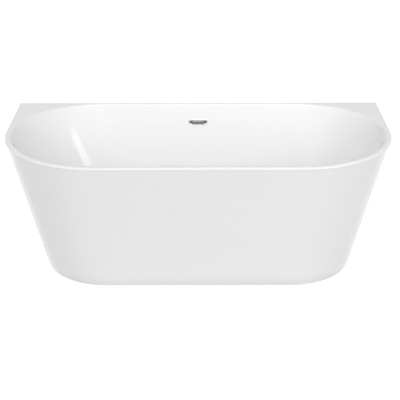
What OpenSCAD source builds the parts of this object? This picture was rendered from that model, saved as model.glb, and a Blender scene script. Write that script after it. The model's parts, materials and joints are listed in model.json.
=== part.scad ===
// Back-to-wall freestanding bathtub: acrylic basin and apron, steel cradle with
// levelling feet, click waste with bottle trap, and slot overflow. Millimetres.
// X runs along the wall, +Y towards the wall, +Z up. The origin is on the floor,
// under the middle of the tub.

/* [Tub] */
// Length along the wall
tub_length = 1700; // [1680:5:1740]
// Depth from the wall to the front
tub_depth = 800; // [790:5:830]
// Height of the rim above the floor
tub_height = 600; // [590:1:620]
// How far each end leans in from rim to floor
side_taper = 156; // [130:2:170]
// How far the front leans in from rim to floor
front_taper = 90; // [70:2:100]
// Radius of the front corners at the rim
rim_corner_r = 420; // [400:5:440]
// Radius of the front corners at the floor
base_corner_r = 295; // [270:5:310]
// Width of the rim at the front and the ends
rim_width = 25; // [24:1:30]
// Gap between the apron and the floor
floor_gap = 4; // [2:1:8]

/* [Basin] */
// Height of the basin's floor
basin_floor = 170; // [168:1:176]
// Half the length of the basin at its floor
floor_half_length = 575; // [565:5:600]
// How far the basin's front leans in from rim to floor
basin_front_lean = 80; // [76:1:86]
// How far the basin's back leans in from rim to floor
basin_back_lean = 107; // [104:1:110]
// Size of the sweep between the wall and the floor
floor_sweep = 80; // [70:2:84]
// Thickness of the acrylic sheet
acrylic_t = 5; // [4:0.5:5]
// Thickness of the glass-fibre backing
laminate_t = 4; // [3:0.5:4]

/* [Overflow] */
// Height of the overflow above the floor
overflow_z = 517; // [505:1:525]
// Width of the overflow trim
trim_w = 92; // [88:1:96]
// Height of the overflow trim
trim_h = 26; // [24:1:28]

/* [Waste] */
// Radius of the waste flange
flange_r = 36; // [35:0.5:37]
// Radius of the plug's cap
cap_r = 33; // [32:0.5:34]
// Radius of the outlet spigot
outlet_r = 20; // [20:0.5:21]

/* [Cradle] */
// Side of the square steel tube
tube_s = 30; // [30:1:31]
// Wall of the square steel tube
tube_t = 2; // [1.5:0.5:2.5]
// Distance of the long rails from the middle
rail_y = 165; // [160:1:170]
// Distance of the end feet from the middle
foot_x = 530; // [525:1:535]
// Radius of the foot spindles
spindle_r = 6; // [6:0.5:6.5]

/* [Hidden] */
$fn = 64;

eps = 0.01;
half_l = tub_length / 2;
half_d = tub_depth / 2;

// Outline rings. A ring is [half length, front y, back y, front corner radius,
// back corner radius along X, back corner radius along Y, z, squareness], where
// squareness 1 makes the back corners sharp.
corner_steps = 16;
curve_steps = 4;
outward = [1, -1, 1, 1, 1, 1, 0, 0];
lip_drop = 12;
outer_round = 10;
inner_round = 8;
least_round = 1.5;
floor_corner_r = 250;
drain_hole_r = 27;

function mix(a, b, t) = a * (1 - t) + b * t;
function bend(a, b, c, t) = a * (1 - t) * (1 - t) + b * 2 * t * (1 - t) + c * t * t;
function bends(a, b, c, steps) = [for (i = [0 : steps]) bend(a, b, c, i / steps)];
function at_z(p, z) = [p[0], p[1], p[2], p[3], p[4], p[5], z, p[7]];
function reach(a, sq) = 1 + sq * (1 / max(abs(cos(a)), abs(sin(a))) - 1);
function corner(cx, cy, rx, ry, a, sq, z) =
    [cx + rx * cos(a) * reach(a, sq), cy + ry * sin(a) * reach(a, sq), z];
function quarter(p, q) = [
    for (i = [0 : corner_steps]) let (a = 90 * (q + i / corner_steps), back = q < 2)
        corner((q == 0 || q == 3 ? 1 : -1) * (p[0] - (back ? p[4] : p[3])),
               back ? p[2] - p[5] : p[1] + p[3],
               back ? p[4] : p[3], back ? p[5] : p[3], a, back ? p[7] : 0, p[6])
];
function ring(p) = [for (q = [0 : 3]) each quarter(p, q)];
ring_points = 4 * (corner_steps + 1);
function round_ring(r, z) =
    [for (i = [0 : ring_points - 1]) let (a = 360 * (i + 0.5) / ring_points) [r * cos(a), r * sin(a), z]];
function reversed(list) = [for (i = [len(list) - 1 : -1 : 0]) list[i]];

// A closed solid through rings that go round and come back to the first one. The
// way back splits its four-sided faces the other way, so that nested shells match.
module ring_solid(rings) {
    n = len(rings[0]);
    m = len(rings);
    faces = [
        for (j = [0 : m - 1], i = [0 : n - 1])
            let (a = j * n + i, b = j * n + (i + 1) % n,
                 c = ((j + 1) % m) * n + (i + 1) % n, d = ((j + 1) % m) * n + i)
                each j < m / 2 ? [[a, d, b], [b, d, c]] : [[a, d, c], [a, c, b]]
    ];
    polyhedron(points = [for (r = rings) each r], faces = faces, convexity = 10);
}

// The apron's outline at height z, moved in by inset
function outer(z, inset) =
    let (k = (tub_height - z) / tub_height, r = mix(rim_corner_r, base_corner_r, k))
    [half_l - side_taper * k, -half_d + front_taper * k, half_d, r, r,
     mix(half_d - 20, base_corner_r, k), z, 1] - inset * outward;

basin_top = [half_l - rim_width, -half_d + rim_width, half_d - rim_width,
             rim_corner_r - rim_width, rim_corner_r - rim_width,
             half_d - rim_width - 20, tub_height, 0];
basin_low = [floor_half_length, basin_top[1] + basin_front_lean, basin_top[2] - basin_back_lean,
             floor_corner_r, floor_corner_r, floor_corner_r - 10, basin_floor, 0];
function wall(z) = mix(basin_low, basin_top, (z - basin_floor) / (tub_height - basin_floor));

// Rings of the basin's surface moved d mm into the material, from the bottom of
// the outer lip over the rim and down to the drain
function basin_surface(d) =
    let (r_out = max(outer_round - d, least_round), r_in = max(inner_round - d, least_round),
         top = tub_height - d, low = basin_floor - d)
    concat(
        [ring(outer(tub_height - lip_drop, d))],
        [for (p = bends(at_z(outer(tub_height, d), top - r_out), at_z(outer(tub_height, d), top),
                        at_z(outer(tub_height, d + r_out), top), curve_steps)) ring(p)],
        [for (p = bends(at_z(basin_top + (d + r_in) * outward, top), at_z(basin_top + d * outward, top),
                        wall(top - r_in) + d * outward, curve_steps)) ring(p)],
        [for (p = bends(wall(basin_floor + floor_sweep) + d * outward, at_z(basin_low + d * outward, low),
                        at_z(basin_low - floor_sweep * outward, low), curve_steps + 2)) ring(p)],
        [round_ring(drain_hole_r, low)]);

// Places children on the basin's back wall at the overflow, with local Y into the wall
wall_lean = atan(basin_back_lean / (tub_height - basin_floor));
laminate_back = (acrylic_t + laminate_t) * cos(wall_lean);
overflow_y = wall(overflow_z)[2];
module at_overflow() {
    translate([0, overflow_y, overflow_z]) rotate([-wall_lean, 0, 0]) children();
}

// A plate with round corners in local XZ, from y0 to y1
module wall_plate(w, h, r, y0, y1) {
    translate([0, y1, 0]) rotate([90, 0, 0]) linear_extrude(y1 - y0) rounded(w, h, r);
}
module rounded(w, h, r) {
    square([w - 2 * r, h], center = true);
    square([w, h - 2 * r], center = true);
    for (x = [-1, 1], y = [-1, 1]) translate([x * (w / 2 - r), y * (h / 2 - r)]) circle(r, $fn = 32);
}
module pipe_section(r_out, r_in) {
    difference() {
        circle(r_out);
        circle(r_in);
    }
}
module tube(r_out, r_in, h) {
    difference() {
        cylinder(r = r_out, h = h);
        translate([0, 0, -1]) cylinder(r = r_in, h = h + 2);
    }
}
// Children at each [x, y] of a list, standing at height z
module at_places(places, z) {
    for (p = places) translate([p[0], p[1], z]) children();
}
function places_at_y(places, y) = [for (p = places) if (p[1] == y) p];
function places_off_y(places, y) = [for (p = places) if (abs(p[1]) != y) p];

// Shells ------------------------------------------------------------------
slot_w = trim_w - 8;
slot_h = trim_h - 6;
module overflow_cut() {
    at_overflow() wall_plate(slot_w, slot_h, 4, -20, 30);
}
module basin_shell() {
    color("white") difference() {
        ring_solid(concat(basin_surface(0), reversed(basin_surface(acrylic_t))));
        overflow_cut();
    }
}
module basin_laminate() {
    color("palegoldenrod") difference() {
        ring_solid(concat(basin_surface(acrylic_t), reversed(basin_surface(acrylic_t + laminate_t))));
        overflow_cut();
    }
}

skirt_t = acrylic_t;
skirt_lip = 25;
access_w = 1080;
access_top = 470;
module outer_skirt() {
    skirt_top = tub_height - lip_drop;
    color("white") difference() {
        ring_solid([
            ring(outer(skirt_top, 0)), ring(outer(skirt_top, skirt_t)),
            ring(outer(floor_gap + skirt_t, skirt_t)), ring(outer(floor_gap + skirt_t, skirt_lip)),
            ring(outer(floor_gap, skirt_lip)), ring(outer(floor_gap, 0))
        ]);
        translate([0, half_d + 5, 0]) rotate([90, 0, 0]) linear_extrude(40)
            rounded(access_w, 2 * access_top, 40);
    }
}

gusset_t = 18;
gusset_top = tub_height - acrylic_t - laminate_t;
module deck_gusset(side) {
    x1 = half_l - 17;
    y1 = half_d - 12;
    color("burlywood") translate([0, 0, gusset_top - gusset_t]) linear_extrude(gusset_t)
        polygon([[side * x1, y1], [side * (x1 - 193), y1], [side * x1, y1 - 218]]);
}

// Cradle ------------------------------------------------------------------
board_t = 18;
board_top = basin_floor - acrylic_t - laminate_t;
board_low = board_top - board_t;
board_l = 1000;
board_w = 390;
rail_low = board_low - tube_s;
rail_mid = rail_low + tube_s / 2;
rail_l = 1120;
crossbar_x = [-foot_x, -200, 200, foot_x];
crossbar_l = 2 * rail_y - tube_s;
screw_r = 2;
module base_board() {
    color("tan") difference() {
        translate([0, 0, board_low]) linear_extrude(board_t) rounded(board_l, board_w, 140);
        translate([0, 0, board_low - 1]) cylinder(r = 70, h = board_t + 2);
        at_places(screw_places, board_low - 1) cylinder(r = screw_r + 0.05, h = 13, $fn = 24);
    }
}
module square_tube(l) {
    difference() {
        cube([l, tube_s, tube_s], center = true);
        cube([l + 2, tube_s - 2 * tube_t, tube_s - 2 * tube_t], center = true);
    }
}
foot_places = concat([for (y = [-rail_y, rail_y], x = [-foot_x, foot_x]) [x, y]], [[0, -rail_y]]);
screw_places = [
    for (x = [-200, 200], y = [-90, 90]) [x, y],
    for (x = [-400, 400], y = [-rail_y, rail_y]) [x, y]
];
module screw_hole() {
    cylinder(r = screw_r + 0.3, h = tube_s + 2, $fn = 24);
}
module frame_rail(y) {
    color("silver") difference() {
        translate([0, y, rail_mid]) square_tube(rail_l);
        at_places(places_at_y(foot_places, y), rail_low - 1) cylinder(r = spindle_r + 1, h = 6);
        at_places(places_at_y(screw_places, y), rail_low - 1) screw_hole();
    }
}
module frame_crossbars() {
    color("silver") difference() {
        at_places([for (x = crossbar_x) [x, 0]], rail_mid) rotate([0, 0, 90]) square_tube(crossbar_l);
        at_places(places_off_y(screw_places, rail_y), rail_low - 1) screw_hole();
    }
}
cap_t = 3;
cap_plug_l = 12;
module rail_end_cap() {
    plug_s = tube_s - 2 * tube_t;
    translate([cap_t / 2, 0, 0]) cube([cap_t, tube_s, tube_s], center = true);
    translate([eps - cap_plug_l / 2, 0, 0]) cube([cap_plug_l, plug_s, plug_s], center = true);
}
module rail_end_caps() {
    color("dimgray") at_places([for (y = [-rail_y, rail_y]) [0, y]], rail_mid) {
        translate([rail_l / 2, 0, 0]) rail_end_cap();
        mirror([1, 0, 0]) translate([rail_l / 2, 0, 0]) rail_end_cap();
    }
}
screw_head_t = 3;
module frame_screws() {
    color("gold") at_places(screw_places, rail_low) {
        translate([0, 0, -screw_head_t]) cylinder(r1 = 4, r2 = 5, h = screw_head_t, $fn = 24);
        translate([0, 0, -eps]) cylinder(r = screw_r, h = tube_s + 11, $fn = 24);
    }
}

// Straps from the ends of the cradle to the apron, each with an upright tab
strap_w = 30;
strap_t = 3;
strap_y = [30, 125];
strap_z = rail_low - strap_t;
tab_h = 34;
skirt_lean = atan(side_taper / tub_height);
strap_end = outer(strap_z, skirt_t)[0] - 1;
strap_start = foot_x - tube_s / 2;
strap_screw_places = [for (x = [-foot_x, foot_x], y = strap_y) [x, y]];
module skirt_bracket() {
    translate([(strap_start + strap_end) / 2, 0, strap_z + strap_t / 2 - eps])
        cube([strap_end - strap_start, strap_w, strap_t], center = true);
    translate([strap_end, 0, strap_z]) rotate([0, skirt_lean, 0])
        translate([-strap_t / 2, 0, tab_h / 2]) cube([strap_t, strap_w, tab_h], center = true);
}
module skirt_brackets() {
    color("silver") difference() {
        at_places([for (y = strap_y) [0, y]], 0) {
            skirt_bracket();
            mirror([1, 0, 0]) skirt_bracket();
        }
        at_places(strap_screw_places, strap_z - 1) cylinder(r = 2.6, h = 5, $fn = 24);
    }
}
module bracket_screws() {
    color("gold") at_places(strap_screw_places, strap_z - screw_head_t)
        cylinder(r = 5, h = screw_head_t - eps, $fn = 24);
}

// Feet --------------------------------------------------------------------
sole_t = 3;
pad_top = 24;
socket_low = 12;
pin_r = 8;
pin_top = 26;
hex_h = 8;
hex_r = 10.97;
weld_nut_h = 10;
locknut_h = 7;
spindle_top = rail_low + 21;
module foot_sole(place) {
    color("black") at_places([place], 0) cylinder(r = 25, h = sole_t);
}
module foot_pad(place) {
    color("dimgray") at_places([place], 0) rotate_extrude() polygon([
        [0, sole_t], [25, sole_t], [27, sole_t + 2], [27, 8], [24, 10], [14, 21], [13, pad_top],
        [pin_r + 0.1, pad_top], [pin_r + 0.1, socket_low], [0, socket_low]
    ]);
}
module foot_spindle(place) {
    color("silver") at_places([place], 0) {
        translate([0, 0, socket_low + 0.1]) cylinder(r = pin_r, h = pin_top - socket_low);
        translate([0, 0, pin_top]) cylinder(r = hex_r, h = hex_h, $fn = 6);
        translate([0, 0, pin_top + hex_h - eps]) cylinder(r = spindle_r, h = spindle_top - pin_top - hex_h);
    }
}
module foot_nuts(z, h) {
    color("silver") at_places(foot_places, z) difference() {
        cylinder(r = hex_r, h = h, $fn = 6);
        translate([0, 0, -1]) cylinder(r = spindle_r + 0.05, h = h + 2);
    }
}
module weld_nuts() {
    foot_nuts(rail_low - weld_nut_h, weld_nut_h);
}
module foot_locknuts() {
    foot_nuts(rail_low - weld_nut_h - 0.2 - locknut_h, locknut_h);
}

// Waste ---------------------------------------------------------------------
throat_r = 19;
tail_r = 22;
seat_t = 1.5;
flange_z = basin_floor + seat_t;
flange_low = basin_floor - 34;
bridge_z = basin_floor - 44;
bridge_h = 6;
cartridge_r = 8;
module flange_gasket() {
    color("black") translate([0, 0, basin_floor]) tube(flange_r - 2, 24, seat_t);
}
module waste_flange() {
    color("lightgray") rotate_extrude() polygon([
        [throat_r, flange_low], [tail_r, flange_low], [tail_r, flange_z], [flange_r, flange_z],
        [flange_r, flange_z + 1], [flange_r - 2, flange_z + 2.5], [27, flange_z + 2.5],
        [throat_r + 2, flange_z + 0.5], [throat_r, flange_z - 3]
    ]);
}
body_low = 72;
body_top = board_top - 5;
body_r = 27;
body_tail_r = 24;
inlet_z = 94;
inlet_end = 62;
inlet_r = 15;
module waste_gasket() {
    color("black") translate([0, 0, body_top]) tube(40, 24, board_top - body_top);
}
module waste_body() {
    color("white") {
        difference() {
            union() {
                rotate_extrude() polygon([
                    [0, body_low], [body_tail_r, body_low], [body_tail_r, 112], [body_r, 118],
                    [body_r, body_top - 6], [42, body_top - 5], [42, body_top], [0, body_top]
                ]);
                translate([0, 0, inlet_z]) rotate([-90, 0, 0]) cylinder(r = inlet_r, h = inlet_end);
            }
            translate([0, 0, body_low - 1]) cylinder(r = throat_r, h = body_top);
            translate([0, 0, flange_low - 4]) cylinder(r = tail_r + 0.05, h = 40);
            translate([0, 0, inlet_z]) rotate([-90, 0, 0]) cylinder(r = inlet_r - 4, h = inlet_end + 1);
        }
        bridge();
    }
}
// Cross bar that holds the click cartridge in the middle of the throat
module bridge() {
    translate([0, 0, bridge_z]) difference() {
        union() {
            cylinder(r = 11, h = bridge_h);
            for (a = [0, 90]) rotate([0, 0, a]) translate([-throat_r - 1, -2, 0])
                cube([2 * throat_r + 2, 4, bridge_h]);
        }
        translate([0, 0, -1]) cylinder(r = cartridge_r, h = bridge_h + 2);
    }
}
stem_r = 4;
stem_low = 116;
cartridge_low = 122;
cartridge_top = basin_floor - 12;
module click_cartridge() {
    collar_low = bridge_z + bridge_h;
    color("gray") rotate_extrude() polygon([
        [stem_r + 0.1, cartridge_low], [cartridge_r, cartridge_low], [cartridge_r, collar_low],
        [9.5, collar_low], [9.5, cartridge_top - 2], [cartridge_r, cartridge_top],
        [stem_r + 0.1, cartridge_top]
    ]);
}
carrier_z = basin_floor - 3;
seal_t = 3;
cap_z = flange_z + 2.7;
module plug_cap() {
    color("lightgray") rotate_extrude() polygon([
        [0, cap_z], [cap_r - 1, cap_z], [cap_r, cap_z + 0.8], [cap_r, cap_z + 1.6], [cap_r - 2, cap_z + 2.7],
        [cap_r - 8, cap_z + 3.6], [cap_r - 18, cap_z + 4.4], [0, cap_z + 4.8]
    ]);
}
module plug_seal() {
    color("black") translate([0, 0, carrier_z]) tube(throat_r - 0.1, 14, seal_t);
}
module plug_stem() {
    color("silver") rotate_extrude() polygon([
        [0, stem_low], [stem_r, stem_low], [stem_r, carrier_z - 1], [16, carrier_z - 1], [16, carrier_z],
        [14, carrier_z], [14, carrier_z + seal_t], [16, carrier_z + seal_t], [16, cap_z], [0, cap_z]
    ]);
}
spring_turns = 4;
spring_steps = spring_turns * 14;
spring_r = 6.2;
wire_r = 0.6;
wire_sides = 8;
module plug_spring() {
    low = cartridge_top + wire_r + 0.1;
    high = carrier_z - 1 - wire_r - 0.1;
    ends = [for (k = [0 : wire_sides - 1]) k];
    points = [
        for (i = [0 : spring_steps], k = ends)
            let (t = i / spring_steps, a = 360 * spring_turns * t, b = 360 * k / wire_sides,
                 r = spring_r + wire_r * cos(b))
            [r * cos(a), r * sin(a), mix(low, high, t) + wire_r * sin(b)]
    ];
    sides = [
        for (i = [0 : spring_steps - 1], k = ends)
            let (a = i * wire_sides + k, b = i * wire_sides + (k + 1) % wire_sides)
            each [[a, b, a + wire_sides], [b, b + wire_sides, a + wire_sides]]
    ];
    last = [for (k = ends) spring_steps * wire_sides + k];
    color("silver")
        polyhedron(points = points, faces = concat(sides, [reversed(ends), last]), convexity = 10);
}

// Trap and outlet -----------------------------------------------------------
cup_r = 38;
cup_low = 14;
cup_edge = cup_low + 2;
cup_top = 56;
dip_r = 20;
dip_low = 30;
outlet_z = 44;
elbow_x = 75;
elbow_stub = 12;
elbow_r = 40;
spigot_l = 60;
pipe_end = 385;
pipe_wall = 2.5;
module grip_ribs(r, h) {
    for (a = [0 : 30 : 330]) rotate([0, 0, a]) translate([r, 0, 0]) cylinder(r = 2, h = h, $fn = 16);
}
// A union nut with grip ribs, its bore r_in, standing on z = 0
module union_nut(r_in, r_out, h) {
    difference() {
        union() {
            cylinder(r = r_out - 1.5, h = h);
            grip_ribs(r_out - 2, h);
        }
        translate([0, 0, -1]) cylinder(r = r_in, h = h + 2);
    }
}
module trap_nut() {
    color("white") translate([0, 0, body_low - 10]) union_nut(body_tail_r + 0.1, 33, 15);
}
module trap_body() {
    color("white") difference() {
        union() {
            rotate_extrude() polygon([
                [0, cup_edge], [cup_r, cup_edge], [cup_r, cup_top], [cup_r - 4, cup_top + 4],
                [body_tail_r, cup_top + 4], [body_tail_r, body_low - 0.1], [0, body_low - 0.1]
            ]);
            translate([2 - cup_r, 0, outlet_z]) rotate([0, -90, 0])
                cylinder(r = outlet_r, h = elbow_x - elbow_stub - cup_r + 2);
        }
        translate([0, 0, cup_low]) cylinder(r = cup_r - 3, h = cup_top - cup_low);
        translate([0, 0, cup_top - 6]) cylinder(r = dip_r + 0.1, h = 30);
        translate([0, 0, outlet_z]) rotate([0, -90, 0]) cylinder(r = outlet_r - pipe_wall, h = elbow_x + 1);
    }
}
module trap_dip_tube() {
    color("white") translate([0, 0, dip_low]) tube(dip_r, dip_r - pipe_wall, body_low - dip_low - 0.2);
}
module trap_cap() {
    color("white") difference() {
        translate([0, 0, cup_low - 4]) union() {
            cylinder(r = cup_r + 2, h = 12);
            grip_ribs(cup_r + 2, 12);
        }
        translate([0, 0, cup_edge - 0.05]) cylinder(r = cup_r + 0.1, h = 20);
        translate([0, 0, cup_low]) cylinder(r = cup_r - 3, h = 20);
    }
}
module outlet_nut() {
    color("white") translate([-elbow_x + 2 * elbow_stub, 0, outlet_z]) rotate([0, -90, 0])
        union_nut(outlet_r + 0.1, 28, 2 * elbow_stub - 1);
}
module outlet_elbow() {
    color("white") {
        translate([-elbow_x + elbow_stub - 0.1, 0, outlet_z]) rotate([0, -90, 0])
            tube(outlet_r, outlet_r - pipe_wall, elbow_stub - 0.1);
        translate([-elbow_x, elbow_r, outlet_z]) rotate([0, 0, 180]) rotate_extrude(angle = 90)
            translate([elbow_r, 0]) pipe_section(outlet_r, outlet_r - pipe_wall);
    }
}
module outlet_pipe() {
    color("white") translate([-elbow_x - elbow_r, elbow_r, outlet_z]) rotate([-90, 0, 0]) difference() {
        union() {
            cylinder(r = outlet_r, h = pipe_end - elbow_r);
            translate([0, 0, pipe_end - elbow_r - spigot_l - 30]) cylinder(r = outlet_r + 4, h = 30);
        }
        translate([0, 0, -1]) cylinder(r = outlet_r - pipe_wall, h = pipe_end);
    }
}

// Overflow ------------------------------------------------------------------
plate_t = 3;
sleeve_end = 16;
cover_w = 62;
cover_h = 19;
gasket_back = laminate_back + 2;
housing_back = 34;
hose_r = 14;
hose_in_r = 11;
hose_y = overflow_y + 18.6;
hose_bend = 112;
hose_fit = 20;
spout_z = overflow_z - 70;
spout_top = overflow_z - 18;
spout_r = hose_in_r - 2.8;
overflow_screw_r = 1.8;
// Children at each overflow screw, local y into the wall, with their Z out of the wall
module at_overflow_screws(y) {
    at_overflow() for (x = [-24, 24]) translate([x, y, 6.5]) rotate([90, 0, 0]) children();
}
module overflow_trim() {
    color("lightgray") difference() {
        at_overflow() {
            wall_plate(trim_w, trim_h, 5, -plate_t, -0.1);
            wall_plate(slot_w - 1, slot_h - 1, 3.5, -0.2, sleeve_end);
        }
        at_overflow() translate([0, 0, -3])
            wall_plate(slot_w - 4, slot_h - 9, 2.5, -plate_t - 1, sleeve_end + 1);
        at_overflow_screws(sleeve_end + 1)
            cylinder(r = overflow_screw_r + 0.05, h = sleeve_end + 1, $fn = 24);
        at_overflow_screws(0) cylinder(r1 = overflow_screw_r + 0.05, r2 = 3.5, h = plate_t + 0.1, $fn = 24);
    }
}
module overflow_cover() {
    color("gray") at_overflow() translate([0, 0, -1])
        wall_plate(cover_w, cover_h, 3, -plate_t - 3.6, -plate_t);
}
module overflow_gasket() {
    color("black") at_overflow() difference() {
        wall_plate(trim_w + 10, trim_h + 6, 5, laminate_back + 0.1, gasket_back);
        wall_plate(slot_w, slot_h, 4, 0, 20);
    }
}
module overflow_housing() {
    post_l = housing_back - sleeve_end - 2.2;
    color("white") {
        difference() {
            union() {
                at_overflow() wall_plate(trim_w + 14, trim_h + 10, 6, gasket_back, housing_back);
                translate([0, hose_y, spout_z]) cylinder(r = hose_in_r, h = spout_top - spout_z);
            }
            at_overflow() wall_plate(slot_w, slot_h, 4, laminate_back, housing_back - 2.5);
            translate([0, hose_y, spout_z - 1]) cylinder(r = spout_r, h = spout_top - spout_z + 13);
        }
        at_overflow_screws(housing_back - 2) tube(3.4, overflow_screw_r + 0.05, post_l);
    }
}
module overflow_screws() {
    shank_end = housing_back - 3;
    color("silver") {
        at_overflow_screws(0) cylinder(r1 = overflow_screw_r, r2 = 3.3, h = plate_t - 0.1, $fn = 24);
        at_overflow_screws(shank_end) cylinder(r = overflow_screw_r, h = shank_end, $fn = 24);
    }
}
module overflow_hose() {
    bend_y = hose_y - hose_bend;
    bend_z = inlet_z + hose_bend;
    bore = hose_in_r + 0.1;
    color("white") {
        translate([0, hose_y, bend_z]) tube(hose_r, bore, spout_z + hose_fit - bend_z);
        translate([0, bend_y, bend_z]) rotate([90, 0, 90]) rotate([0, 0, -90]) rotate_extrude(angle = 90)
            translate([hose_bend, 0]) pipe_section(hose_r, bore);
        translate([0, bend_y, inlet_z]) rotate([90, 0, 0]) tube(hose_r, bore, bend_y - inlet_end - 0.1);
    }
}
module hose_nut_top() {
    color("white") translate([0, hose_y, spout_z + 2]) tube(hose_r + 2.5, hose_r + 0.1, 16);
}
module hose_nut_bottom() {
    color("white") translate([0, inlet_end + 14, inlet_z]) rotate([90, 0, 0])
        union_nut(inlet_r + 0.1, 21, 26);
}

basin_shell();
basin_laminate();
outer_skirt();
deck_gusset(-1);  // deck_gusset_left
deck_gusset(1);  // deck_gusset_right
base_board();
frame_rail(-rail_y);  // frame_rail_front
frame_rail(rail_y);  // frame_rail_rear
frame_crossbars();
rail_end_caps();
frame_screws();
skirt_brackets();
bracket_screws();
weld_nuts();
foot_locknuts();
for (i = [0 : 4]) {
    foot_pad(foot_places[i]);
    foot_sole(foot_places[i]);
    foot_spindle(foot_places[i]);
}
waste_flange();
flange_gasket();
waste_gasket();
waste_body();
click_cartridge();
plug_cap();
plug_seal();
plug_stem();
plug_spring();
trap_nut();
trap_body();
trap_dip_tube();
trap_cap();
outlet_nut();
outlet_elbow();
outlet_pipe();
overflow_trim();
overflow_cover();
overflow_gasket();
overflow_housing();
overflow_screws();
overflow_hose();
hose_nut_top();
hose_nut_bottom();
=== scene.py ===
"""Looks of the back-to-wall bathtub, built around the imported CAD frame.

Shapes are worked out in millimetres and turned into metres when a mesh is made.
X runs along the wall, +Y towards the wall, +Z up, the origin under the tub's middle.
Turned pieces are given as closed outlines of (radius, height) corners.
"""

import json
import math
import random

import bmesh
import bpy
import numpy as np
from mathutils import Matrix, Vector, noise


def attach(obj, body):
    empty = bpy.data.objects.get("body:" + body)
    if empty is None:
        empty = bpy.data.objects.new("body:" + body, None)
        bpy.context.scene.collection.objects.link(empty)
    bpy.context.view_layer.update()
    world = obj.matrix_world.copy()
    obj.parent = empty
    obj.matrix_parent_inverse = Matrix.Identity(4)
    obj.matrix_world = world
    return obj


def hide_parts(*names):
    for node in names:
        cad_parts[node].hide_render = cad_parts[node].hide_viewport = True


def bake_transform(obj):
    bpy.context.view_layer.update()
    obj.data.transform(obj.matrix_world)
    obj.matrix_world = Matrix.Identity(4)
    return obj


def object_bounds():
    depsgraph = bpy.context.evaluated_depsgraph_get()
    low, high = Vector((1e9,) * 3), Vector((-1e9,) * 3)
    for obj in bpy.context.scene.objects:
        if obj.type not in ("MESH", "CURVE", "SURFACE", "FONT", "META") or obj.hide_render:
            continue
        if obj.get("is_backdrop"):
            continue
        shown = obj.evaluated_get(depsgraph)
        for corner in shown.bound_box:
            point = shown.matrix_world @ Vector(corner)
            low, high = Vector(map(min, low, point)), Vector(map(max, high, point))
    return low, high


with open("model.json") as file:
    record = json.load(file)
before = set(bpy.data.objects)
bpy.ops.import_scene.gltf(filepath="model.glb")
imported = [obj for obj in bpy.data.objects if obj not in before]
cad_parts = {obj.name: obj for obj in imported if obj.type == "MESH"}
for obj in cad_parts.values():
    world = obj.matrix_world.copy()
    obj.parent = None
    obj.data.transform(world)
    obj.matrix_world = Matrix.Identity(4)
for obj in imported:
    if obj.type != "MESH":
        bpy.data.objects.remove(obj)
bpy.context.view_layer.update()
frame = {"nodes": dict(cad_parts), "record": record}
nodes = frame["nodes"]
MM = 0.001

# Sizes shared with the CAD model, in millimetres
LENGTH = 1700
DEPTH = 800
HEIGHT = 600
SIDE_TAPER = 156
FRONT_TAPER = 90
RIM_CORNER = 420
BASE_CORNER = 295
RIM_WIDTH = 25
FLOOR_GAP = 4
BASIN_FLOOR = 170
FLOOR_HALF_LENGTH = 575
FRONT_LEAN = 80
BACK_LEAN = 107
FLOOR_SWEEP = 80
FLOOR_CORNER = 250
DRAIN_R = 27
ACRYLIC = 5
LAMINATE = 4
LIP_DROP = 12
OUTER_ROUND = 10
INNER_ROUND = 8
OVERFLOW_Z = 517
TRIM = (92, 26)
ACCESS = (1080, 470)
ACCESS_CORNER = 40
RAIL_Y = 165
RAIL_LOW = 113
RAIL_LENGTH = 1120
TUBE = 30
CROSSBAR_X = (-530, -200, 200, 530)
FEET = [(-530, -165), (530, -165), (-530, 165), (530, 165), (0, -165)]
FRAME_SCREWS = [(x, y) for x in (-200, 200) for y in (-90, 90)]
FRAME_SCREWS += [(x, y) for x in (-400, 400) for y in (-165, 165)]
BRACKET_SCREWS = [(x, y) for x in (-530, 530) for y in (30, 125)]
WALL_LEAN = math.atan(BACK_LEAN / (HEIGHT - BASIN_FLOOR))
NUT_ACROSS = 19
SPINDLE_R = 6
SPINDLE_TOP = 134
PITCH = 1.75
THROAT_R = 19
TAIL_R = 22
FLANGE_R = 36
BRIDGE_Z = (126, 132)
HOSE_INLET_Z = 94
OUTLET_Z = 44
PIPE_R = 20
PIPE_BORE = 17.5
PIPE_BEND = 40
BEND_X = -75


# Materials -------------------------------------------------------------------
def add_node(tree, kind, links=None, **settings):
    """A shader node whose inputs are set from sockets or from plain values."""
    made = tree.nodes.new("ShaderNode" + kind)
    for key, value in settings.items():
        setattr(made, key, value)
    for socket, source in (links or {}).items():
        if isinstance(source, bpy.types.NodeSocket):
            tree.links.new(source, made.inputs[socket])
        else:
            made.inputs[socket].default_value = source
    return made


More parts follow.
